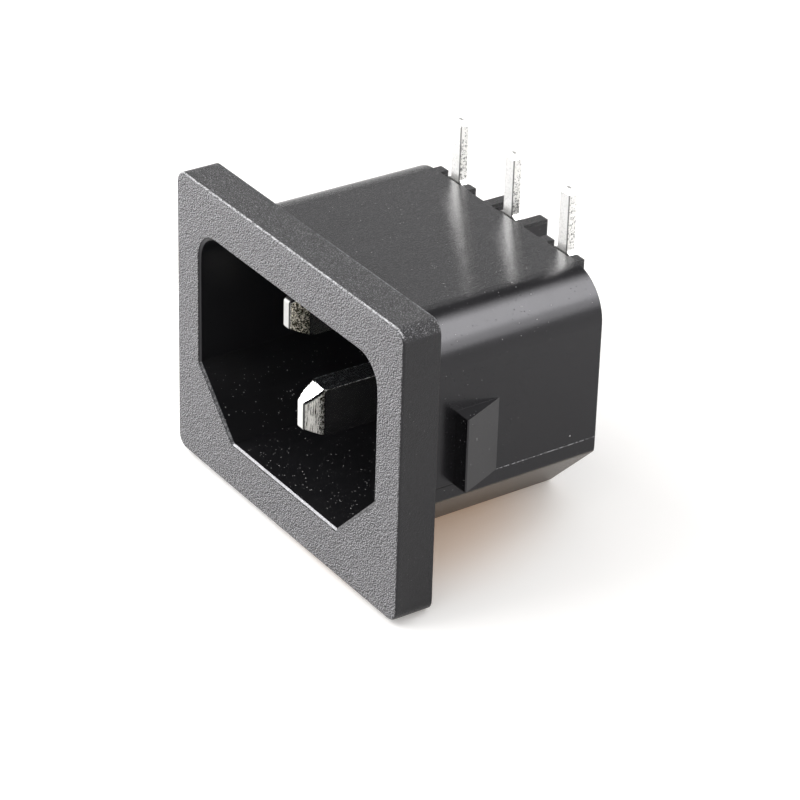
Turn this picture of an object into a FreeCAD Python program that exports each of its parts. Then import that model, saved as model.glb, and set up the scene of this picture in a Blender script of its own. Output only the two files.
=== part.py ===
"""Snap-in panel inlet socket: one moulded housing and three one-piece pin terminals.

Millimetres. The origin is the centre of the flange's rear rim, the plane that seats on the
panel. -Y is the side the connector plugs in from, +Y is behind the panel, and the solder
tails point up, +Z. The connector cavity's two bevelled corners are at the bottom.
"""
import FreeCAD, Part
import math
import os
from FreeCAD import Vector

# Flange, the frame that covers the panel cut-out
FLANGE_WIDTH = 31.0
FLANGE_HEIGHT = 24.2
FLANGE_THICKNESS = 3.2
FLANGE_CORNER_RADIUS = 1.1
FLANGE_EDGE_ROUND = 0.2

# Shell, the body behind the panel
SHELL_WIDTH = 26.0
SHELL_HEIGHT = 19.7
SHELL_DEPTH = 16.5
SHELL_CORNER_RADIUS = 3.6
SHELL_BEVEL = 5.25
SHELL_BEVEL_ROUND = 0.5
SHELL_SIDE_DRAFT = 0.12
SHELL_REAR_BREAK = 0.15
SIDE_WALL = 0.75
TOP_WALL = 1.7
REAR_WALL = 3.2

# Cavity that takes the cord connector, which the walls leave inside the shell
CAVITY_CORNER_RADIUS = 2.5
CAVITY_BEVEL_STEP = 0.3
CAVITY_BEVEL_ROUND = 0.15
CAVITY_DRAFT = 0.15
CAVITY_LEAD_IN = 0.2

# Snap wedges on the two side walls, which hold the flange against the panel
WEDGE_PANEL_GAP = 3.3
WEDGE_LENGTH = 3.9
WEDGE_HEIGHT = 1.6
WEDGE_TOP = 2.75
WEDGE_BOTTOM = -3.35
WEDGE_RIDGE_ROUND = 0.12
WEDGE_ROOT = 0.3

# Blades inside the cavity
BLADE_WIDTH = 2.0
BLADE_HEIGHT = 4.0
POLE_OFFSET = 7.0
POLE_LEVEL = 2.2
EARTH_LEVEL = -2.3
POLE_TIP_RECESS = 4.6
EARTH_TIP_RECESS = 1.5
BLADE_TAPER_LENGTH = 1.6
BLADE_TAPER_SIDE = 0.55
BLADE_TAPER_TOP = 0.95
BLADE_TAPER_BOTTOM = 0.75
BLADE_TIP_ROUND = 0.25
BLADE_SEAT_DEPTH = 2.0
BLADE_CLEARANCE = 0.04

# Shank, bend and solder tail behind the rear wall
STRIP_THICKNESS = 0.7
STRIP_WALL_GAP = 0.3
STRIP_BEND_RADIUS = 0.3
SHOULDER_DROP = 0.05
SHOULDER_SLOPE = 0.25
TAIL_WIDTH = 1.1
TAIL_RISE = 4.9
TAIL_TAPER_LENGTH = 0.4
TAIL_TAPER_SIDE = 0.3
TAIL_TAPER_FACE = 0.2

# Ribs on the rear wall, one on each side of every terminal
RIB_THICKNESS = 0.95
EARTH_RIB_CLEARANCE = 0.6
EARTH_RIB_REACH = 2.4
POLE_RIB_CLEARANCE = 0.4
POLE_RIB_REACH = 0.8
RIB_BELOW_SHANK = 3.2
RIB_ROUND = 0.3

# How far a cutting tool runs past the face it opens, and how near counts as touching
CUT_MARGIN = 1.0
TOUCHING = 1e-6

# Levels that several pieces share
FRONT_Y = -FLANGE_THICKNESS
REAR_Y = SHELL_DEPTH
CAVITY_FLOOR_Y = REAR_Y - REAR_WALL
BLADE_SEAT_Y = CAVITY_FLOOR_Y + BLADE_SEAT_DEPTH
SHELL_TOP = SHELL_HEIGHT / 2
STRIP_FRONT_Y = REAR_Y + STRIP_WALL_GAP
TAIL_TOP = SHELL_TOP + TAIL_RISE


class Terminal:
    """Where one terminal sits, and how its tip and its ribs stand."""

    def __init__(self, node, x, level, tip_recess, rib_reach, rib_clearance):
        self.node = node
        self.x = x
        self.level = level
        self.tip_y = FRONT_Y + tip_recess
        self.rib_reach = rib_reach
        self.rib_clearance = rib_clearance


def pole(node, x):
    """One of the two pole terminals, which differ only in their side."""
    return Terminal(node, x, POLE_LEVEL, POLE_TIP_RECESS, POLE_RIB_REACH, POLE_RIB_CLEARANCE)


TERMINALS = [
    pole("pole_terminal_left", -POLE_OFFSET),
    Terminal("earth_terminal", 0, EARTH_LEVEL, EARTH_TIP_RECESS, EARTH_RIB_REACH,
             EARTH_RIB_CLEARANCE),
    pole("pole_terminal_right", POLE_OFFSET),
]


def box(x_range, y_range, z_range):
    """Block between two limits on each axis."""
    size = [high - low for low, high in (x_range, y_range, z_range)]
    return Part.makeBox(*size, Vector(x_range[0], y_range[0], z_range[0]))


def prism(points, sweep):
    """Solid from a closed outline of corner points, swept along a vector."""
    return Part.Face(Part.makePolygon(points + points[:1])).extrude(sweep)


def arc(centre, start, end):
    """Arc about a centre by the shorter way, from start to end."""
    middle = centre + ((start + end) / 2 - centre).normalize() * (start - centre).Length
    return Part.Arc(start, middle, end).toShape()


def rounded_wire(corners):
    """Closed wire of straight runs through corner points, each with its own radius."""
    points = [point for point, radius in corners]
    before = points[-1:] + points[:-1]
    after = points[1:] + points[:1]
    arcs = []
    for (point, radius), previous, following in zip(corners, before, after):
        back = (previous - point).normalize()
        forward = (following - point).normalize()
        half_angle = back.getAngle(forward) / 2
        run_out = radius / math.tan(half_angle)
        centre = point + (back + forward).normalize() * (radius / math.sin(half_angle))
        arcs.append(arc(centre, point + back * run_out, point + forward * run_out))
    edges = []
    for this, following in zip(arcs, arcs[1:] + arcs[:1]):
        edges += [this, Part.makeLine(this.lastVertex().Point, following.firstVertex().Point)]
    return Part.Wire(edges)


def socket_outline(width, height, corner_radius, bevel, bevel_round, y):
    """Wire at depth y: round top corners, and 45 degree bottom corners with soft edges."""
    side = width / 2
    top = height / 2
    return rounded_wire([
        (Vector(-side, y, top), corner_radius),
        (Vector(side, y, top), corner_radius),
        (Vector(side, y, bevel - top), bevel_round),
        (Vector(side - bevel, y, -top), bevel_round),
        (Vector(bevel - side, y, -top), bevel_round),
        (Vector(-side, y, bevel - top), bevel_round),
    ])


def flange():
    """Rounded plate with its front edges softened."""
    corner = Vector(-FLANGE_WIDTH / 2, FRONT_Y, -FLANGE_HEIGHT / 2)
    plate = Part.makeBox(FLANGE_WIDTH, FLANGE_THICKNESS, FLANGE_HEIGHT, corner)
    corners = [e for e in plate.Edges if e.BoundBox.YLength > FLANGE_THICKNESS / 2]
    plate = plate.makeFillet(FLANGE_CORNER_RADIUS, corners)
    front_edges = [e for e in plate.Edges if e.BoundBox.YMax < FRONT_Y + TOUCHING]
    return plate.makeFillet(FLANGE_EDGE_ROUND, front_edges)


def shell():
    """Drafted body behind the panel, with its rear rim broken."""
    def section(y, inset):
        drafted = SHELL_WIDTH - 2 * (SHELL_SIDE_DRAFT * y / SHELL_DEPTH + inset)
        return socket_outline(drafted, SHELL_HEIGHT - 2 * inset, SHELL_CORNER_RADIUS,
                              SHELL_BEVEL, SHELL_BEVEL_ROUND, y)
    sections = [section(0, 0), section(REAR_Y - SHELL_REAR_BREAK, 0),
                section(REAR_Y, SHELL_REAR_BREAK)]
    return Part.makeLoft(sections, True, True)


def cavity():
    """Space for the connector: a short lead-in, then slightly drafted walls."""
    def section(y, growth):
        width = SHELL_WIDTH - 2 * (SIDE_WALL - growth)
        height = SHELL_HEIGHT - 2 * (TOP_WALL - growth)
        bevel = SHELL_BEVEL - CAVITY_BEVEL_STEP
        return socket_outline(width, height, CAVITY_CORNER_RADIUS, bevel,
                              CAVITY_BEVEL_ROUND, y)
    sections = [section(FRONT_Y, CAVITY_LEAD_IN), section(FRONT_Y + CAVITY_LEAD_IN, 0),
                section(CAVITY_FLOOR_Y, -CAVITY_DRAFT)]
    return Part.makeLoft(sections, True, True)


def snap_wedge(side):
    """Solid wedge on one side wall: a square face toward the panel, a ramp toward the rear."""
    start = WEDGE_PANEL_GAP
    end = start + WEDGE_LENGTH
    wall = [SHELL_WIDTH / 2 - SHELL_SIDE_DRAFT * y / SHELL_DEPTH for y in (start, end)]
    root = wall[1] - WEDGE_ROOT
    ridge = wall[0] + WEDGE_HEIGHT
    outline = [(root, start), (ridge, start), (wall[1], end), (root, end)]
    points = [Vector(side * x, y, WEDGE_BOTTOM) for x, y in outline]
    wedge = prism(points, Vector(0, 0, WEDGE_TOP - WEDGE_BOTTOM))
    ridge_edges = [e for e in wedge.Edges
                   if all(abs(v.X - side * ridge) < TOUCHING for v in e.Vertexes)]
    return wedge.makeFillet(WEDGE_RIDGE_ROUND, ridge_edges)


def rib(x_range, reach, bottom):
    """Upright rib on the rear wall, level with the shell's top, rounded where it stands out."""
    end = REAR_Y + reach
    block = box(x_range, (REAR_Y - SHELL_REAR_BREAK, end), (bottom, SHELL_TOP))
    outer = [e for e in block.Edges
             if e.BoundBox.YMin > end - TOUCHING and e.BoundBox.ZMax > bottom + TOUCHING]
    return block.makeFillet(RIB_ROUND, outer)


def rib_pair(terminal):
    """The two ribs that stand beside a terminal's strip."""
    inner = BLADE_WIDTH / 2 + terminal.rib_clearance
    outer = inner + RIB_THICKNESS
    bottom = terminal.level - RIB_BELOW_SHANK
    left = rib((terminal.x - outer, terminal.x - inner), terminal.rib_reach, bottom)
    right = rib((terminal.x + inner, terminal.x + outer), terminal.rib_reach, bottom)
    return [left, right]


def terminal_seat(terminal):
    """Pocket for the blade's root and the slot that its shank leaves by."""
    half_width = BLADE_WIDTH / 2 + BLADE_CLEARANCE
    x_range = (terminal.x - half_width, terminal.x + half_width)

    def z_range(height):
        half_height = height / 2 + BLADE_CLEARANCE
        return (terminal.level - half_height, terminal.level + half_height)
    pocket = box(x_range, (CAVITY_FLOOR_Y - CUT_MARGIN, BLADE_SEAT_Y), z_range(BLADE_HEIGHT))
    slot = box(x_range, (BLADE_SEAT_Y, REAR_Y + CUT_MARGIN), z_range(STRIP_THICKNESS))
    return [pocket, slot]


def housing():
    """Flange, shell, wedges and ribs in one moulding, hollowed by the cavity and the seats."""
    ribs = [piece for terminal in TERMINALS for piece in rib_pair(terminal)]
    body = flange().fuse([shell(), snap_wedge(-1), snap_wedge(1)] + ribs)
    seats = [piece for terminal in TERMINALS for piece in terminal_seat(terminal)]
    return body.cut([cavity()] + seats).removeSplitter()


def crowned_plan(terminal, z):
    """Face in the XY plane: a pin whose two sides curve in to the narrower tip."""
    tip = terminal.tip_y
    full = tip + BLADE_TAPER_LENGTH
    half = BLADE_WIDTH / 2
    crown = (BLADE_TAPER_SIDE ** 2 + BLADE_TAPER_LENGTH ** 2) / (2 * BLADE_TAPER_SIDE)

    def point(x, y):
        return Vector(terminal.x + x, y, z)
    left = [point(BLADE_TAPER_SIDE - half, tip), point(-half, full), point(-half, BLADE_SEAT_Y)]
    right = [point(half, BLADE_SEAT_Y), point(half, full), point(half - BLADE_TAPER_SIDE, tip)]
    return Part.Face(Part.Wire([
        arc(point(crown - half, full), left[0], left[1]),
        Part.makeLine(left[1], left[2]),
        Part.makeLine(left[2], right[0]),
        Part.makeLine(right[0], right[1]),
        arc(point(half - crown, full), right[1], right[2]),
        Part.makeLine(right[2], left[0]),
    ]))


def blade(terminal):
    """Flat contact pin: bevelled above and below, crowned at its sides, square at its seat."""
    tip = terminal.tip_y
    full = tip + BLADE_TAPER_LENGTH
    low = terminal.level - BLADE_HEIGHT / 2
    high = terminal.level + BLADE_HEIGHT / 2
    side_view = [(tip, low + BLADE_TAPER_BOTTOM), (tip, high - BLADE_TAPER_TOP), (full, high),
                 (BLADE_SEAT_Y, high), (BLADE_SEAT_Y, low), (full, low)]
    from_side = prism([Vector(terminal.x - BLADE_WIDTH / 2, y, z) for y, z in side_view],
                      Vector(BLADE_WIDTH, 0, 0))
    from_top = crowned_plan(terminal, low).extrude(Vector(0, 0, BLADE_HEIGHT))
    pin = from_side.common(from_top)
    tip_edges = [e for e in pin.Edges
                 if e.BoundBox.YMin < full - TOUCHING and e.BoundBox.YMax < full + TOUCHING]
    return pin.makeFillet(BLADE_TIP_ROUND, tip_edges)


def strip_side_view(terminal):
    """Face in the YZ plane: shank out of the wall, bend, and tail up to its tapered tip."""
    x = terminal.x - BLADE_WIDTH / 2
    under = terminal.level - STRIP_THICKNESS / 2
    over = terminal.level + STRIP_THICKNESS / 2
    front = STRIP_FRONT_Y
    back = front + STRIP_THICKNESS
    centre = Vector(x, front - STRIP_BEND_RADIUS, over + STRIP_BEND_RADIUS)
    outer_start = Vector(x, centre.y, under)
    outer_end = Vector(x, back, centre.z)
    inner_start = Vector(x, front, centre.z)
    inner_end = Vector(x, centre.y, over)
    taper_z = TAIL_TOP - TAIL_TAPER_LENGTH
    upright = [outer_end, Vector(x, back, taper_z), Vector(x, back - TAIL_TAPER_FACE, TAIL_TOP),
               Vector(x, front + TAIL_TAPER_FACE, TAIL_TOP), Vector(x, front, taper_z),
               inner_start]
    shank = [inner_end, Vector(x, BLADE_SEAT_Y, over), Vector(x, BLADE_SEAT_Y, under),
             outer_start]
    outline = [Part.makePolygon(upright), arc(centre, inner_start, inner_end),
               Part.makePolygon(shank), arc(centre, outer_start, outer_end)]
    edges = [edge for piece in outline for edge in piece.Edges]
    return Part.Face(Part.Wire(edges))


def strip(terminal):
    """Shank, bend and tail: the side view's solid, narrowed at the shoulders and the tip."""
    half = BLADE_WIDTH / 2
    tail = TAIL_WIDTH / 2
    bottom = terminal.level - STRIP_THICKNESS
    shoulder = SHELL_TOP - SHOULDER_DROP
    front_view = [(half, bottom), (half, shoulder - SHOULDER_SLOPE), (tail, shoulder),
                  (tail, TAIL_TOP - TAIL_TAPER_LENGTH), (tail - TAIL_TAPER_SIDE, TAIL_TOP)]
    mirrored = [(-x, z) for x, z in reversed(front_view)]
    points = [Vector(terminal.x + x, BLADE_SEAT_Y, z) for x, z in front_view + mirrored]
    depth = STRIP_FRONT_Y + STRIP_THICKNESS - BLADE_SEAT_Y
    from_front = prism(points, Vector(0, depth, 0))
    from_side = strip_side_view(terminal).extrude(Vector(BLADE_WIDTH, 0, 0))
    return from_side.common(from_front)


def pin_terminal(terminal):
    """Blade and bent strip as one piece."""
    return blade(terminal).fuse(strip(terminal)).removeSplitter()


def main():
    os.makedirs("parts", exist_ok=True)
    pieces = {"housing": housing()}
    for terminal in TERMINALS:
        pieces[terminal.node] = pin_terminal(terminal)
    for node, shape in pieces.items():
        shape.exportStep("parts/" + node + ".step")


main()
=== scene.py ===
"""Finishes, floor, lamps and camera for the snap-in panel inlet socket."""

import math
from types import SimpleNamespace

import bpy
from mathutils import Matrix, Vector


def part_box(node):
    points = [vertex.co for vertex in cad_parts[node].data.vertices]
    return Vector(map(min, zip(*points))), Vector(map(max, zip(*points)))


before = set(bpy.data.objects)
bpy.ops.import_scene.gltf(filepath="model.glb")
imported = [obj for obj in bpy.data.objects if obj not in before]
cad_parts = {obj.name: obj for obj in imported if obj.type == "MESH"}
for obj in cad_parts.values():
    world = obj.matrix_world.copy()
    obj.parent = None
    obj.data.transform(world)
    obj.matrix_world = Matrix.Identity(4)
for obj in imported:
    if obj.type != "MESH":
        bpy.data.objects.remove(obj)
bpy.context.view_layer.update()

# Places on the socket, in millimetres; the cavity's corner and bevel as across + z and across - z
FLANGE_FRONT = -3.2
FLANGE_SIDE = 15.5
FLANGE_TOP = 12.1
SHELL_TOP = 9.85
SHELL_REAR = 16.5
PARTING_LEVEL = -3.35
WEDGE_START = 3.3
WEDGE_END = 7.2
SHELL_SIDE = 12.6
CAVITY_SIDE = 12.4
CAVITY_TOP = 8.3
CAVITY_CORNER = 19.5
CAVITY_BEVEL = 16.3
TAPER_LENGTH = 1.6
BLADE_HALF = 1.0
BLADE_SEAT = 13.3
BLADE_LEVEL = {"earth_terminal": -2.3, "pole_terminal_left": 2.2,
               "pole_terminal_right": 2.2}
TAIL_START = 9.8
TAIL_HALF = 0.55
TAIL_FRONT = 16.8

# Grain of the flange's face, in features per millimetre, and where its shaded side lies
GRAIN_SCALE = 10.5
GRAIN_SHADE = (-0.048, 0, 0.034)
ALONG_Y = (1.0, 0.06, 1.0)

# Relief and soft edges, in metres
PLASTIC_RELIEF = 0.00006
NICKEL_RELIEF = 0.00009
EDGE_ROUND = 0.00007
CRISP_EDGE_ROUND = 0.00001
NICKEL_EDGE_ROUND = 0.00006

# Colours of the plastic, linear
BLACK = (0.0, 0.0, 0.0)
NEAR_BLACK = (0.001, 0.001, 0.001)
# Lit side of the flange face's grain, painted light
FACE_PAINTED_LIT_SIDE = (0.42, 0.415, 0.43)
FACE_SPARKLE = (0.42, 0.42, 0.43)
RIM_PEAK = (0.36, 0.355, 0.37)
RIM_SPARKLE = (0.34, 0.34, 0.35)
SKIN_DARK = (0.0025, 0.0024, 0.003)
SKIN_LIGHT = (0.006, 0.0057, 0.0068)
# Paler skin inside the cavity: painted light reaching into it
CAVITY_PAINTED_FILL = (0.007, 0.007, 0.008)
FLANGE_SPECK = (0.008, 0.008, 0.009)
WISP = (0.010, 0.0097, 0.011)
# Warm brown on the underside's grain: painted light bounced from the floor
UNDERSIDE_PAINTED_BOUNCE = (0.185, 0.142, 0.102)
# Painted highlights on the flange's upward front edges and on the cavity's lower edges
LIP_HIGHLIGHT = (0.60, 0.60, 0.61)
MOUTH_HIGHLIGHT = (0.15, 0.15, 0.155)
# Painted highlights on the parting line's fin and on the flange's rear top edge
FLASH_HIGHLIGHT = (0.30, 0.30, 0.31)
REAR_FLASH_HIGHLIGHT = (0.33, 0.33, 0.34)
DUST_DARK = (0.10, 0.10, 0.10)
DUST_PALE = (0.60, 0.59, 0.58)

# Colours of the plate, linear
PLATE_PALE = (0.96, 0.95, 0.93)
PLATE_DULL = (0.90, 0.89, 0.86)
# Rear-facing faces of the plate, painted darker as shade
PLATE_BACK_PAINTED_SHADE = (0.66, 0.64, 0.60)
# Upward faces of the blades, painted darker: a painted dark reflection of the cavity's roof
BLADE_UPPER_PAINTED_REFLECTION = (0.48, 0.50, 0.54)
TAIL_MARK = (0.10, 0.10, 0.10)
# Dark for the tail's front right edge, a painted dark reflection, and for its tip
TAIL_EDGE = (0.12, 0.12, 0.12)
# Coined flank's struck texture with painted light: shaded gaps, and bright highlight streaks
STRUCK_PAINTED_SHADE = (0.05, 0.045, 0.03)
# Dark line at the round where the coined flank turns: painted shade
CORNER_PAINTED_SHADE = (0.03, 0.03, 0.03)
EARTH_PAINTED_HIGHLIGHT = (1.0, 0.98, 0.93)
POLE_PAINTED_HIGHLIGHT = (1.0, 0.95, 0.82)

# The socket leans back on its flange's rear edge and its shell's rear edge; in metres
FLOOR_EDGE = Vector((0, 0, -0.01212))
FLOOR_LEAN = math.radians(7.83)
FLOOR_SIZE = 3.0
FLOOR_COLOUR = (0.86, 0.855, 0.85, 1)
FLOOR_GLOW = 0.22
MIRRORED_GLOW = 0.7
# Glow near under the shell is warm, a painted warm tint in its shadow, fading to pale glow further
# out
WARM_SHADOW_GLOW = (1.0, 0.62, 0.36, 1)
PALE_GLOW = (1.0, 0.96, 0.92, 1)
UNDER_SHELL = (0.005, 0.006, 0)
WARM_REACH = (0.004, 0.013)

# World: its strength on matt surfaces, and in reflections at wall and ceiling height
AMBIENT = 0.93
WALL_GLOW = 0.95
CEILING_GLOW = 0.26
CEILING_START = 0.56
CEILING_FULL = 0.72
LAMP_AIM = Vector((0, 0.006, 0))

# Camera
CAMERA_PLACE = Vector((0.17881, -0.11642, 0.11932))
CAMERA_AZIMUTH = math.radians(55.305)
CAMERA_ELEVATION = math.radians(29.516)
CAMERA_ROLL = math.radians(1.696)
CAMERA_LENS = 146.66


class Finish:
    """A material and the few kinds of node that its pattern is wired from."""

    def __init__(self, name):
        self.material = bpy.data.materials.new(name)
        self.material.use_nodes = True
        self.tree = self.material.node_tree
        self.shader = self.tree.nodes["Principled BSDF"]
        coordinates = self.tree.nodes.new("ShaderNodeTexCoord")
        self.place = self.mapped(coordinates.outputs["Object"], (1000, 1000, 1000))
        split = self.tree.nodes.new("ShaderNodeSeparateXYZ")
        self.tree.links.new(self.place, split.inputs[0])
        self.x, self.y, self.z = split.outputs
        facing = self.tree.nodes.new("ShaderNodeSeparateXYZ")
        geometry = self.tree.nodes.new("ShaderNodeNewGeometry")
        self.tree.links.new(geometry.outputs["Normal"], facing.inputs[0])
        self.facing_x, self.facing_y, self.facing_z = facing.outputs

    def put(self, socket, value):
        """Links a socket to an output, or sets it to a plain value."""
        if isinstance(value, bpy.types.NodeSocket):
            self.tree.links.new(value, socket)
        else:
            socket.default_value = value

    def mapped(self, vector, scale, turn=(0, 0, 0), shift=(0, 0, 0)):
        node = self.tree.nodes.new("ShaderNodeMapping")
        self.put(node.inputs["Vector"], vector)
        node.inputs["Location"].default_value = shift
        node.inputs["Scale"].default_value = scale
        node.inputs["Rotation"].default_value = turn
        return node.outputs[0]

    def sum(self, operation, a, b=0.0):
        node = self.tree.nodes.new("ShaderNodeMath")
        node.operation = operation
        self.put(node.inputs[0], a)
        self.put(node.inputs[1], b)
        return node.outputs[0]

    def step(self, value, start, end, low=0.0, high=1.0):
        """Goes smoothly from low at start to high at end."""
        node = self.tree.nodes.new("ShaderNodeMapRange")
        node.interpolation_type = "SMOOTHSTEP"
        self.put(node.inputs["Value"], value)
        for name, number in (("From Min", start), ("From Max", end),
                             ("To Min", low), ("To Max", high)):
            self.put(node.inputs[name], number)
        return node.outputs[0]

    def near(self, value, place, reach):
        """One at a place, falling to nothing at a distance from it."""
        away = self.sum("ABSOLUTE", self.sum("SUBTRACT", value, place))
        return self.step(away, reach, reach * 0.4)

    def all_of(self, *masks):
        result = masks[0]
        for mask in masks[1:]:
            result = self.sum("MULTIPLY", result, mask)
        return result

    def noise(self, scale, detail=2.0, roughness=0.5, vector=None):
        node = self.tree.nodes.new("ShaderNodeTexNoise")
        self.put(node.inputs["Vector"], self.place if vector is None else vector)
        node.inputs["Scale"].default_value = scale
        node.inputs["Detail"].default_value = detail
        node.inputs["Roughness"].default_value = roughness
        return node.outputs["Fac"]

    def specks(self, spacing, radius, share, vector=None):
        """Round specks: one cell in so many holds one, each with its own radius."""
        node = self.tree.nodes.new("ShaderNodeTexVoronoi")
        self.put(node.inputs["Vector"], self.place if vector is None else vector)
        node.inputs["Scale"].default_value = 1 / spacing
        split = self.tree.nodes.new("ShaderNodeSeparateColor")
        self.put(split.inputs[0], node.outputs["Color"])
        reach = self.sum("MULTIPLY", split.outputs[0], radius / spacing)
        inside = self.sum("LESS_THAN", node.outputs["Distance"], reach)
        chosen = self.sum("LESS_THAN", split.outputs[1], share)
        return self.all_of(inside, chosen)

    def mix(self, mask, low, high):
        """Number between low and high."""
        node = self.tree.nodes.new("ShaderNodeMix")
        self.put(node.inputs[0], mask)
        self.put(node.inputs[2], low)
        self.put(node.inputs[3], high)
        return node.outputs[0]

    def tint(self, mask, low, high):
        """Colour between low and high."""
        node = self.tree.nodes.new("ShaderNodeMix")
        node.data_type = "RGBA"
        self.put(node.inputs[0], mask)
        for socket, value in ((node.inputs[6], low), (node.inputs[7], high)):
            self.put(socket, value if isinstance(value, bpy.types.NodeSocket) else (*value, 1))
        return node.outputs[2]

    def soft_edges(self, radius):
        node = self.tree.nodes.new("ShaderNodeBevel")
        node.samples = 6
        self.put(node.inputs["Radius"], radius)
        return node.outputs[0]

    def bump(self, height, distance, normal):
        node = self.tree.nodes.new("ShaderNodeBump")
        self.put(node.inputs["Height"], height)
        node.inputs["Distance"].default_value = distance
        node.inputs["Strength"].default_value = 1.0
        self.put(node.inputs["Normal"], normal)
        return node.outputs[0]


def plastic_zones(f):
    """Masks for the housing's regions and edges, from 0 to 1."""
    across = f.sum("ABSOLUTE", f.x)
    level = f.sum("ABSOLUTE", f.z)
    inside = f.all_of(f.step(across, CAVITY_SIDE, CAVITY_SIDE - 0.1),
                      f.step(level, CAVITY_TOP + 0.1, CAVITY_TOP),
                      f.step(f.sum("ADD", across, f.z), CAVITY_CORNER + 0.2, CAVITY_CORNER),
                      f.step(f.sum("SUBTRACT", across, f.z), CAVITY_BEVEL + 0.2, CAVITY_BEVEL),
                      f.step(f.y, FLANGE_FRONT + 0.02, FLANGE_FRONT + 0.06),
                      f.step(f.y, BLADE_SEAT + 0.2, BLADE_SEAT + 0.1))
    outside = f.sum("SUBTRACT", 1.0, inside)
    flange = f.all_of(f.step(f.y, 0.02, -0.02), outside)
    body = f.sum("SUBTRACT", 1.0, flange)
    front = f.step(f.y, FLANGE_FRONT + 0.05, FLANGE_FRONT + 0.01)
    upward = f.step(f.facing_z, 0.3, 0.75)
    below = f.all_of(f.step(f.facing_z, -0.2, -0.5), body, outside)
    flat_top = f.all_of(f.step(f.facing_z, 0.97, 0.995),
                        f.step(f.z, SHELL_TOP - 0.3, SHELL_TOP - 0.2), body)
    rim_top = f.all_of(flange, f.step(f.z, FLANGE_TOP - 0.9, FLANGE_TOP - 0.5))
    rib_top = f.all_of(f.step(f.y, SHELL_REAR, SHELL_REAR + 0.02),
                       f.step(f.z, SHELL_TOP - 0.35, SHELL_TOP - 0.25))
    to_rim = f.sum("MAXIMUM", f.sum("SUBTRACT", across, FLANGE_SIDE),
                   f.sum("SUBTRACT", level, FLANGE_TOP))
    wedge = f.all_of(f.near(f.y, (WEDGE_START + WEDGE_END) / 2, 4.0),
                     f.step(across, SHELL_SIDE - 0.3, SHELL_SIDE - 0.2), body)
    at_mouth = f.all_of(f.step(f.y, FLANGE_FRONT + 0.6, FLANGE_FRONT + 0.4),
                        f.step(level, CAVITY_TOP + 0.6, CAVITY_TOP + 0.4),
                        f.step(across, CAVITY_SIDE + 0.6, CAVITY_SIDE + 0.4))
    return SimpleNamespace(
        inside=inside, outside=outside, flange=flange, body=body, front=front, upward=upward,
        below=below, flat_top=flat_top, rim_top=rim_top, rib_top=rib_top,
        dark_grain=f.sum("MAXIMUM", rim_top, rib_top), border=f.step(to_rim, -0.4, -0.3),
        on_side=f.all_of(f.step(across, SHELL_SIDE, SHELL_SIDE + 0.05), f.step(f.y, 0.0, 0.05)),
        crisp=f.sum("MAXIMUM", wedge, at_mouth))


def plastic_patterns(f):
    """Noises that the housing's colour, gloss and bumps share, and the painted light and shade of
    the flange face's grain.
    """
    grain = f.noise(GRAIN_SCALE, 2.0, 0.7)
    beside = f.noise(GRAIN_SCALE, 2.0, 0.7, f.mapped(f.place, (1, 1, 1), shift=GRAIN_SHADE))
    return SimpleNamespace(
        # grain less a shifted copy of itself: painted light and shade on the grain's slopes, lit
        # from the upper left
        grain=grain, painted_grain_shade=f.step(f.sum("SUBTRACT", grain, beside), -0.02, 0.09),
        fine=f.noise(13.0, 2.0, 0.7), coarse=f.noise(1.1, 2.0, 0.6),
        ragged=f.noise(5.0, 2.0, 0.7), cloud=f.noise(0.35, 2.0, 0.5),
        sparkle=f.step(f.noise(9.0, 1.0, 0.5), 0.62, 0.72),
        grooves=f.noise(24.0, 2.0, 0.6, f.mapped(f.place, ALONG_Y)),
        wisps=f.noise(2.2, 3.0, 0.7, f.mapped(f.place, ALONG_Y)))


def plastic_dust(f, zone, pattern):
    """Specks and short fibres outside, and fine powder low in the cavity."""
    fibre = f.mapped(f.place, (1.0, 0.2, 0.5), (0.4, 0.5, 0.9))
    dust = f.sum("MAXIMUM", f.specks(2.2, 0.09, 0.4), f.specks(0.32, 0.04, 0.4))
    dust = f.sum("MAXIMUM", dust, f.specks(0.9, 0.05, 0.4, fibre))
    settled = f.all_of(f.specks(0.24, 0.055, 0.65), zone.inside, f.step(f.z, -3.0, -6.5),
                       f.step(pattern.coarse, 0.32, 0.50))
    return f.sum("MAXIMUM", f.all_of(dust, zone.outside), settled)


def plastic_edges(f, zone, pattern):
    """Painted highlights on the flange's upward front edges, the cavity's lower edges, the parting
    line's fin behind the wedge and the flange's rear top edge, and the parting line's seam.
    """
    line = f.all_of(f.near(f.z, PARTING_LEVEL, 0.06), zone.on_side)
    dashes = f.all_of(f.step(pattern.ragged, 0.40, 0.56), f.mix(pattern.coarse, 0.5, 1.2))
    # Painted highlight along the flange's upward-facing front edges, broken by noise
    lip_highlight = f.all_of(f.near(f.y, FLANGE_FRONT + 0.08, 0.11), zone.border, zone.upward,
                   f.step(f.noise(8.0, 2.0, 0.7), 0.42, 0.56, 0.12, 1.0))
    # Painted highlight along the cavity's upward-facing lower edges
    mouth_highlight = f.all_of(f.near(f.y, FLANGE_FRONT + 0.1, 0.12),
                     f.sum("SUBTRACT", 1.0, zone.border),
                     f.step(pattern.ragged, 0.42, 0.62, 0.15, 1.0), f.step(f.facing_z, 0.1, 0.3))
    # Painted highlight in dashes along the flange's rear top edge, stronger to the right
    rear_flash_highlight = f.all_of(f.step(f.y, -0.12, -0.08), zone.rim_top,
                          f.step(pattern.ragged, 0.44, 0.58), f.step(f.x, -3.0, 6.0, 0.1, 0.7))
    return SimpleNamespace(
        lip_highlight=lip_highlight, mouth_highlight=mouth_highlight, rear_flash_highlight=rear_flash_highlight,
        # the fin behind the wedge: raised as a bump, and its colour a painted highlight in dashes
        flash_highlight=f.all_of(line, f.step(f.y, WEDGE_END, WEDGE_END + 0.1), dashes),
        seam=f.all_of(line, f.step(f.y, WEDGE_START + 0.1, WEDGE_START)))


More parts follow.
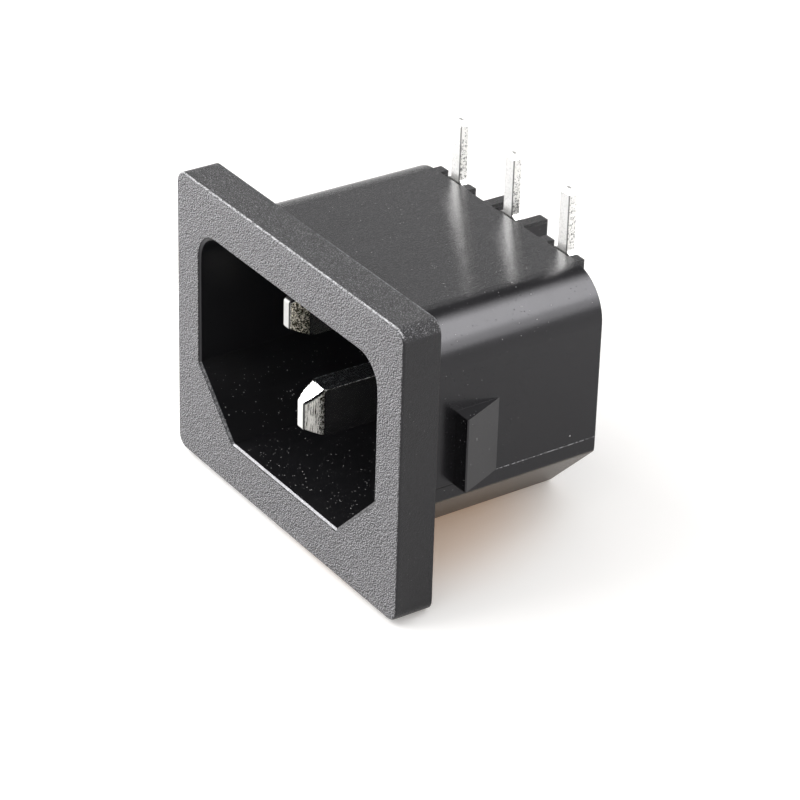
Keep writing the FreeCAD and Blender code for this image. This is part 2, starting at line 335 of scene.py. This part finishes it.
def plastic_colour(f, zone, pattern, edge, dust):
    # The face's grain painted with light and shade: dark on slopes turned from the light, pale on
    # those turned to it
    face = f.tint(pattern.painted_grain_shade, NEAR_BLACK, FACE_PAINTED_LIT_SIDE)
    face = f.tint(f.all_of(pattern.sparkle, f.step(pattern.coarse, 0.35, 0.6)), face, FACE_SPARKLE)
    rim = f.tint(f.step(pattern.fine, 0.575, 0.67), BLACK, RIM_PEAK)
    rim = f.tint(f.all_of(pattern.sparkle, f.step(pattern.coarse, 0.4, 0.7)), rim, RIM_SPARKLE)
    rim = f.tint(f.sum("MULTIPLY", zone.rib_top, 0.75), rim, NEAR_BLACK)
    skin = f.tint(pattern.cloud, SKIN_DARK, SKIN_LIGHT)
    # The cavity's skin is paler, painted light inside the recess
    skin = f.tint(zone.inside, skin, CAVITY_PAINTED_FILL)
    skin = f.tint(zone.flange, skin, f.tint(f.step(pattern.fine, 0.45, 0.65), BLACK, FLANGE_SPECK))
    skin = f.tint(f.all_of(f.step(pattern.wisps, 0.45, 0.75), zone.upward), skin, WISP)
    # Downward faces: their grain painted warm brown, standing in for the floor's warm bounce
    skin = f.tint(f.all_of(zone.below, f.step(pattern.fine, 0.42, 0.6)), skin, UNDERSIDE_PAINTED_BOUNCE)
    colour = f.tint(zone.dark_grain, skin, rim)
    colour = f.tint(zone.front, colour, face)
    # Painted highlight on the flange's upward front edges
    colour = f.tint(edge.lip_highlight, colour, LIP_HIGHLIGHT)
    # Painted highlight on the cavity's lower edges
    colour = f.tint(edge.mouth_highlight, colour, MOUTH_HIGHLIGHT)
    # Painted highlight on the parting line's fin behind the wedge
    colour = f.tint(f.sum("MULTIPLY", edge.flash_highlight, 0.9), colour, FLASH_HIGHLIGHT)
    # Painted highlight on the flange's rear top edge
    colour = f.tint(edge.rear_flash_highlight, colour, REAR_FLASH_HIGHLIGHT)
    colour = f.tint(edge.seam, colour, NEAR_BLACK)
    return f.tint(dust, colour, f.tint(f.noise(2.5), DUST_DARK, DUST_PALE))


def plastic_roughness(f, zone, pattern, edge, dust):
    grainy = f.sum("MAXIMUM", zone.front, zone.dark_grain)
    pits = f.specks(0.25, 0.045, 0.5)
    rough = f.mix(pattern.cloud, 0.22, 0.29)
    for mask, value in ((zone.flat_top, 0.13), (zone.flange, 0.30), (zone.below, 0.34),
                        (zone.inside, 0.32), (zone.front, 0.45), (zone.dark_grain, 0.32),
                        (f.sum("MAXIMUM", edge.lip_highlight, edge.mouth_highlight), 0.34),
                        (f.all_of(grainy, pattern.sparkle), 0.32),
                        (f.all_of(pits, zone.body), 0.8), (dust, 0.9)):
        rough = f.mix(mask, rough, value)
    return rough


def plastic_height(f, zone, pattern, edge):
    """Relief, in units of PLASTIC_RELIEF."""
    height = f.sum("ADD", f.all_of(pattern.grooves, zone.flat_top, 0.35),
                   f.sum("MULTIPLY", pattern.grain, 0.06))
    for mask, noise, strength in ((zone.flange, pattern.fine, 0.7), (zone.below, pattern.fine, 0.8),
                                  (zone.dark_grain, pattern.fine, 1.3),
                                  (zone.front, pattern.grain, 3.0)):
        height = f.mix(mask, height, f.sum("MULTIPLY", noise, strength))
    height = f.sum("ADD", height, f.sum("MULTIPLY", edge.flash_highlight, 0.8))
    return f.sum("SUBTRACT", height, f.sum("MULTIPLY", edge.seam, 1.5))


def black_plastic():
    """Moulded black plastic: spark grain on the flange, a smoother shell, a parting line."""
    f = Finish("black_plastic")
    zone = plastic_zones(f)
    pattern = plastic_patterns(f)
    edge = plastic_edges(f, zone, pattern)
    dust = plastic_dust(f, zone, pattern)
    f.put(f.shader.inputs["Base Color"], plastic_colour(f, zone, pattern, edge, dust))
    f.put(f.shader.inputs["Roughness"], plastic_roughness(f, zone, pattern, edge, dust))
    f.shader.inputs["Specular IOR Level"].default_value = 0.43
    f.shader.inputs["Specular Tint"].default_value = (0.97, 0.955, 1.0, 1)
    rounding = f.soft_edges(f.mix(zone.crisp, EDGE_ROUND, CRISP_EDGE_ROUND))
    height = plastic_height(f, zone, pattern, edge)
    f.put(f.shader.inputs["Normal"], f.bump(height, PLASTIC_RELIEF, rounding))
    return f.material


def nickel_zones(f, name, low, high):
    """Masks for one terminal's regions, from 0 to 1, and the way along its taper."""
    middle = (low.x + high.x) / 2
    along = f.sum("DIVIDE", f.sum("SUBTRACT", f.y, low.y), TAPER_LENGTH)
    coined = f.step(along, 1.02, 0.92)
    turned = f.sum("ABSOLUTE", f.facing_x)
    tail = f.step(f.z, TAIL_START - 0.4, TAIL_START)
    turn = f.near(turned, 0.45, 0.5) if name == "earth_terminal" else f.near(turned, 0.4, 0.4)
    rim_x = f.near(f.sum("ABSOLUTE", f.sum("SUBTRACT", f.x, middle)), BLADE_HALF, 0.07)
    rim_z = f.near(f.sum("ABSOLUTE", f.sum("SUBTRACT", f.z, BLADE_LEVEL[name])), 2.0, 0.07)
    rim_z = f.all_of(rim_z, f.step(f.z, BLADE_LEVEL[name], BLADE_LEVEL[name] + 0.5))
    return SimpleNamespace(
        along=along, turned=turned, tail=tail, high=high, rims=f.all_of(rim_x, rim_z),
        blade=f.step(f.y, BLADE_SEAT, BLADE_SEAT - 0.2), upper=f.step(f.facing_z, 0.8, 0.95),
        # the round beside the coined flank, where shade is painted
        flank=f.all_of(coined, f.step(turned, 0.6, 0.75)), painted_corner_shade=f.all_of(coined, turn),
        # the tail's front right edge, where a dark reflection is painted
        corner=f.all_of(f.near(f.x, middle + TAIL_HALF, 0.13), f.near(f.y, TAIL_FRONT, 0.1), tail),
        cap=f.all_of(f.near(f.z, high.z, 0.1), f.step(f.facing_z, 0.5, 0.9)))


def nickel_colour(f, zone, bright, flank_highlight):
    blotches = f.step(f.noise(1.4, 3.0, 0.6), 0.4, 0.7)
    marks = f.step(f.noise(5.0, 4.0, 0.85), f.step(f.z, SHELL_TOP, zone.high.z, 0.48, 0.56), 0.60)
    side_marks = f.all_of(zone.tail, marks, f.step(zone.turned, 0.3, 0.6, 0.25, 1.0))
    metal = f.tint(blotches, PLATE_PALE, PLATE_DULL)
    metal = f.tint(side_marks, metal, TAIL_MARK)
    # Painted dark reflection down the tail's front right edge
    metal = f.tint(f.sum("MULTIPLY", zone.corner, 0.85), metal, TAIL_EDGE)
    # Faces turned to the back are painted darker: painted shade
    metal = f.tint(f.step(f.facing_y, 0.3, 0.6), metal, PLATE_BACK_PAINTED_SHADE)
    # The blades' upward faces painted darker, a painted reflection of the dark cavity roof
    metal = f.tint(f.all_of(zone.upper, zone.blade), metal, BLADE_UPPER_PAINTED_REFLECTION)
    metal = f.tint(f.sum("MULTIPLY", zone.cap, 0.6), metal, TAIL_EDGE)
    # The coined flank's struck texture painted with light: highlight streaks and shaded gaps
    metal = f.tint(zone.flank, metal, f.tint(bright, STRUCK_PAINTED_SHADE, flank_highlight))
    # Painted shade along the round where the coined flank turns
    return f.tint(zone.painted_corner_shade, metal, CORNER_PAINTED_SHADE)


def nickel_wear(f, zone, glints):
    """Where the plate is scuffed, or carries the coined flank's painted glints, and so less of a
    mirror.
    """
    drawn = f.noise(5.0, 3.0, 0.8, f.mapped(f.place, (1.0, 0.12, 1.0)))
    nicks = f.step(f.noise(4.5, 4.0, 0.8), 0.50, 0.56)
    rubbed_zone = f.sum("MAXIMUM", f.step(f.facing_z, 0.4, 0.8), f.step(zone.along, 2.0, 1.0))
    scuffs = f.all_of(zone.blade, f.step(f.noise(5.5, 4.0, 0.85), 0.66, 0.72), rubbed_zone)
    worn = f.all_of(zone.rims, zone.blade, nicks)
    for mask in (scuffs, f.all_of(zone.blade, f.step(drawn, 0.62, 0.68), zone.upper, 0.4),
                 f.all_of(zone.flank, glints), f.all_of(f.step(zone.along, 0.12, 0.05), zone.blade),
                 f.sum("MULTIPLY", zone.tail, 0.6)):
        worn = f.sum("MAXIMUM", worn, mask)
    return worn


def nickel(name, low, high):
    """Bright nickel plate on a stamped strip, struck and streaked where the tip is coined, with
    highlight streaks and shade painted onto the coined flank.
    """
    f = Finish(name)
    zone = nickel_zones(f, name, low, high)
    peened = f.noise(6.5, 3.0, 0.8)
    # Which part of the coined flank's texture is painted as highlight, fading along the taper, and
    # which as shade
    if name == "earth_terminal":
        streaks = f.noise(12.0, 4.0, 0.75, f.mapped(f.place, (1.0, 1.0, 0.1)))
        struck = f.mix(f.step(zone.along, 0.5, 0.8), streaks, peened)
        bright = f.step(struck, f.step(zone.along, 0.45, 0.9, 0.38, 0.48), 0.52)
        glints = f.sum("MULTIPLY", bright, f.step(zone.along, 1.0, 0.5))
        flank_highlight = EARTH_PAINTED_HIGHLIGHT
    else:
        struck = peened
        bright = f.step(struck, 0.46, 0.60)
        glints = f.step(struck, 0.58, 0.64)
        flank_highlight = POLE_PAINTED_HIGHLIGHT
    f.put(f.shader.inputs["Base Color"], nickel_colour(f, zone, bright, flank_highlight))

    worn = nickel_wear(f, zone, glints)
    f.put(f.shader.inputs["Metallic"], f.sum("SUBTRACT", 1.0, f.sum("MULTIPLY", worn, 0.8)))
    scratches = f.noise(9.0, 3.0, 0.7, f.mapped(f.place, (1.0, 0.08, 1.0)))
    smooth = f.mix(zone.tail, f.mix(scratches, 0.12, 0.28), 0.3)
    f.put(f.shader.inputs["Roughness"], f.mix(zone.flank, smooth, 0.30))
    height = f.mix(zone.flank, f.sum("MULTIPLY", scratches, 0.2), struck)
    f.put(f.shader.inputs["Normal"], f.bump(height, NICKEL_RELIEF, f.soft_edges(NICKEL_EDGE_ROUND)))
    return f.material


def set_material(node, material):
    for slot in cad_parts[node].material_slots:
        slot.material = material


def lamp(name, direction, distance, along, length, breadth, radiance, matt=True, glossy=True):
    """Soft lamp that looks at the socket, its long side along a vector.

    It may light only matt or only glossy surfaces. Its radiance is that of its face.
    """
    data = bpy.data.lights.new(name, "AREA")
    data.shape = "RECTANGLE"
    data.size = length
    data.size_y = breadth
    data.energy = radiance * math.pi * length * breadth
    lamp_object = bpy.data.objects.new(name, data)
    bpy.context.scene.collection.objects.link(lamp_object)
    towards = Vector(direction).normalized()
    across = towards.cross(Vector(along)).normalized()
    turn = Matrix((across.cross(towards), across, towards)).transposed().to_4x4()
    lamp_object.matrix_world = Matrix.Translation(LAMP_AIM + towards * distance) @ turn
    lamp_object.visible_diffuse = matt
    lamp_object.visible_glossy = glossy


def floor():
    """Pale sheet under the socket, which glows a little to the camera and in reflections, warmer
    near under the shell as a painted warm tint in its shadow.
    """
    bpy.ops.object.select_all(action="DESELECT")
    bpy.ops.mesh.primitive_plane_add(size=FLOOR_SIZE, location=FLOOR_EDGE,
                                     rotation=(FLOOR_LEAN, 0, 0))
    sheet = bpy.context.object
    sheet.name = "floor"
    material = bpy.data.materials.new("pale_floor")
    material.use_nodes = True
    tree = material.node_tree
    shader = tree.nodes["Principled BSDF"]
    shader.inputs["Base Color"].default_value = FLOOR_COLOUR
    shader.inputs["Roughness"].default_value = 1.0
    shader.inputs["Specular IOR Level"].default_value = 0.0
    coordinates = tree.nodes.new("ShaderNodeTexCoord")
    away = tree.nodes.new("ShaderNodeVectorMath")
    away.operation = "DISTANCE"
    away.inputs[1].default_value = UNDER_SHELL
    tree.links.new(coordinates.outputs["Object"], away.inputs[0])
    # warm near under the shell: painted warm tint in its shadow
    fade = tree.nodes.new("ShaderNodeMapRange")
    fade.interpolation_type = "SMOOTHSTEP"
    fade.inputs["From Min"].default_value, fade.inputs["From Max"].default_value = WARM_REACH
    tree.links.new(away.outputs["Value"], fade.inputs["Value"])
    shadow_warmth = tree.nodes.new("ShaderNodeMix")
    shadow_warmth.data_type = "RGBA"
    tree.links.new(fade.outputs[0], shadow_warmth.inputs[0])
    shadow_warmth.inputs[6].default_value = WARM_SHADOW_GLOW
    shadow_warmth.inputs[7].default_value = PALE_GLOW
    tree.links.new(shadow_warmth.outputs[2], shader.inputs["Emission Color"])
    path = tree.nodes.new("ShaderNodeLightPath")
    seen = tree.nodes.new("ShaderNodeMath")
    seen.operation = "MAXIMUM"
    tree.links.new(path.outputs["Is Camera Ray"], seen.inputs[0])
    mirrored = tree.nodes.new("ShaderNodeMath")
    mirrored.operation = "MULTIPLY"
    mirrored.inputs[1].default_value = MIRRORED_GLOW
    tree.links.new(path.outputs["Is Glossy Ray"], mirrored.inputs[0])
    tree.links.new(mirrored.outputs[0], seen.inputs[1])
    glow = tree.nodes.new("ShaderNodeMath")
    glow.operation = "MULTIPLY"
    glow.inputs[1].default_value = FLOOR_GLOW
    tree.links.new(seen.outputs[0], glow.inputs[0])
    tree.links.new(glow.outputs[0], shader.inputs["Emission Strength"])
    sheet.data.materials.append(material)


def surroundings():
    """White room: plain white to the camera, with a darker ceiling in reflections."""
    world = bpy.data.worlds.new("studio")
    bpy.context.scene.world = world
    world.use_nodes = True
    tree = world.node_tree
    background = tree.nodes["Background"]
    coordinates = tree.nodes.new("ShaderNodeTexCoord")
    split = tree.nodes.new("ShaderNodeSeparateXYZ")
    tree.links.new(coordinates.outputs["Generated"], split.inputs[0])
    ramp = tree.nodes.new("ShaderNodeMapRange")
    ramp.interpolation_type = "SMOOTHSTEP"
    tree.links.new(split.outputs[2], ramp.inputs["Value"])
    for name, number in (("From Min", CEILING_START), ("From Max", CEILING_FULL),
                         ("To Min", WALL_GLOW), ("To Max", CEILING_GLOW)):
        ramp.inputs[name].default_value = number
    path = tree.nodes.new("ShaderNodeLightPath")
    choose = tree.nodes.new("ShaderNodeMix")
    tree.links.new(path.outputs["Is Glossy Ray"], choose.inputs[0])
    tree.links.new(ramp.outputs[0], choose.inputs[3])
    plain = tree.nodes.new("ShaderNodeMix")
    tree.links.new(path.outputs["Is Camera Ray"], plain.inputs[0])
    plain.inputs[2].default_value = AMBIENT
    plain.inputs[3].default_value = 1.0
    tree.links.new(plain.outputs[0], choose.inputs[2])
    tree.links.new(choose.outputs[0], background.inputs["Strength"])
    background.inputs["Color"].default_value = (1, 1, 1, 1)


def camera():
    sin_a, cos_a = math.sin(CAMERA_AZIMUTH), math.cos(CAMERA_AZIMUTH)
    sin_e, cos_e = math.sin(CAMERA_ELEVATION), math.cos(CAMERA_ELEVATION)
    back = Vector((sin_a * cos_e, -cos_a * cos_e, sin_e))
    level = Vector((cos_a, sin_a, 0))
    raised = back.cross(level)
    right = level * math.cos(CAMERA_ROLL) + raised * math.sin(CAMERA_ROLL)
    data = bpy.data.cameras.new("camera")
    data.lens = CAMERA_LENS
    data.sensor_width = 36
    data.clip_start = 0.01
    camera_object = bpy.data.objects.new("camera", data)
    bpy.context.scene.collection.objects.link(camera_object)
    turn = Matrix((right, back.cross(right), back)).transposed().to_4x4()
    camera_object.matrix_world = Matrix.Translation(CAMERA_PLACE) @ turn
    bpy.context.scene.camera = camera_object


set_material("housing", black_plastic())
for node in BLADE_LEVEL:
    low, high = (corner * 1000 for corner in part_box(node))
    set_material(node, nickel(node, low, high))

floor()
surroundings()
lamp("key", (-0.72, -0.50, 0.49), 0.5, (0.5, -0.72, 0), 0.25, 0.25, 20.0, matt=False)
lamp("left", (-0.85, -0.32, 0.45), 0.5, (0.32, -0.85, 0), 0.25, 0.25, 5.0, glossy=False)
lamp("near_front", (-0.32, -0.72, 0.62), 0.12, (0.75, -0.45, 0), 0.06, 0.06, 4.4, glossy=False)
lamp("low_front", (-0.78, -0.62, 0.06), 0.5, (0.62, -0.78, 0), 0.34, 0.12, 2.5)
lamp("top_back", (0.43, 0.5, 0.75), 0.5, (0.86, 0, -0.5), 0.36, 0.24, 5.0, matt=False)
lamp("top_back_soft", (0.507, 0.5, 0.705), 0.5, (0.86, 0, -0.5), 0.69, 0.24, 4.8, matt=False)
lamp("right_back", (0.86, 0.5, 0.20), 0.5, (0.5, -0.86, 0), 0.30, 0.24, 0.4, matt=False)
lamp("back_fill", (0.2, 0.7, 0.7), 0.5, (0.86, 0, -0.5), 0.48, 0.24, 1.6, glossy=False)
camera()
bpy.context.scene.view_settings.view_transform = "Standard"
